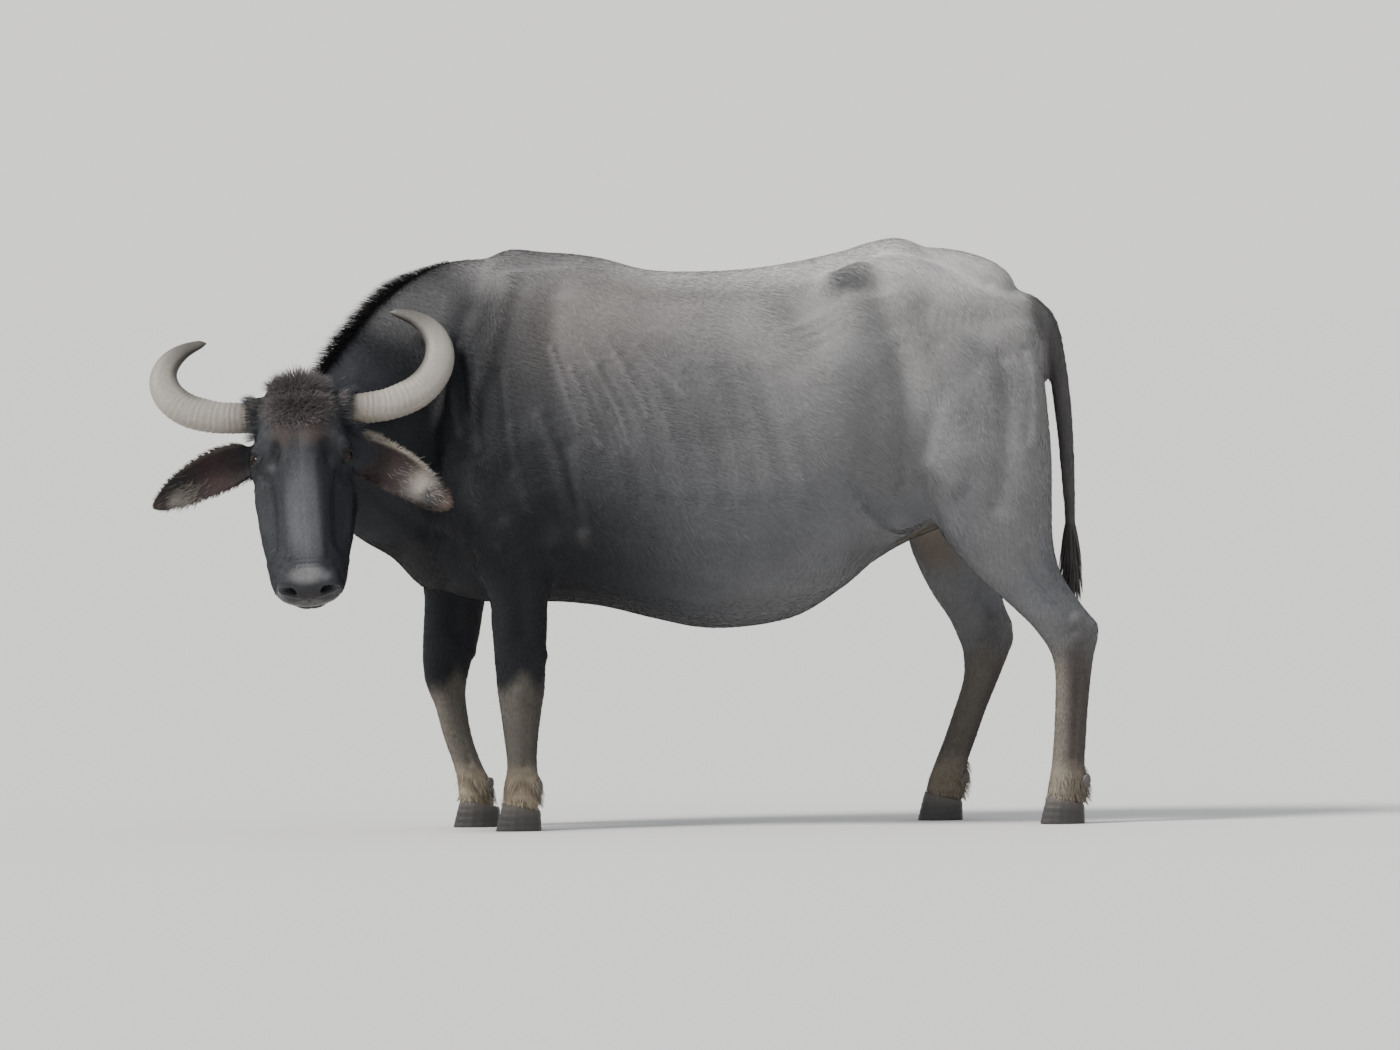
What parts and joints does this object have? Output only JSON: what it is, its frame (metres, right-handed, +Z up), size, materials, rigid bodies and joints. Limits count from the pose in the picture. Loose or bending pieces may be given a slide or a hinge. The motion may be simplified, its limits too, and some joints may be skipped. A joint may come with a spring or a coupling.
{
  "type": "water buffalo",
  "caption": "Life-size still model of a standing water buffalo with crescent horns, cupped ears, tufted tail and cloven hooves, head turned to its left side.",
  "frame": {"origin": "bottom centre of the bounding box, on the floor under the animal", "axes": "+X from the head toward the tail, +Y toward the animal's right side, +Z up"},
  "size_m": [2.2924, 0.8476, 1.4267],
  "materials": {
    "skin": "short sparse dark hair over slate grey hide, dusty on the back and rump",
    "leg_skin": "dark above the knee and hock, pale grey brown short hair below",
    "ear_skin": "dark hide with a fringe of pale hair",
    "horn": "grey keratin with transverse ridges, dry and slightly rough",
    "claw": "dark grey horn, dusty and scuffed",
    "eye": "wet dark brown",
    "tail_hair": "coarse dark hair in hanging locks"
  },
  "bodies": {
    "root": {"ear_left": "ear_skin", "ear_right": "ear_skin", "eye_left": "eye", "eye_right": "eye", "fore_claw_left_a": "claw", "fore_claw_left_b": "claw", "fore_claw_right_a": "claw", "fore_claw_right_b": "claw", "fore_dewclaw_left_a": "claw", "fore_dewclaw_left_b": "claw", "fore_dewclaw_right_a": "claw", "fore_dewclaw_right_b": "claw", "foreleg_left": "leg_skin", "foreleg_right": "leg_skin", "head": "skin", "hind_claw_left_a": "claw", "hind_claw_left_b": "claw", "hind_claw_right_a": "claw", "hind_claw_right_b": "claw", "hind_dewclaw_left_a": "claw", "hind_dewclaw_left_b": "claw", "hind_dewclaw_right_a": "claw", "hind_dewclaw_right_b": "claw", "hindleg_left": "leg_skin", "hindleg_right": "leg_skin", "horn_left": "horn", "horn_right": "horn", "neck": "skin", "tail": "skin", "tail_tuft": "tail_hair", "torso": "skin"}
  },
  "joints": []
}
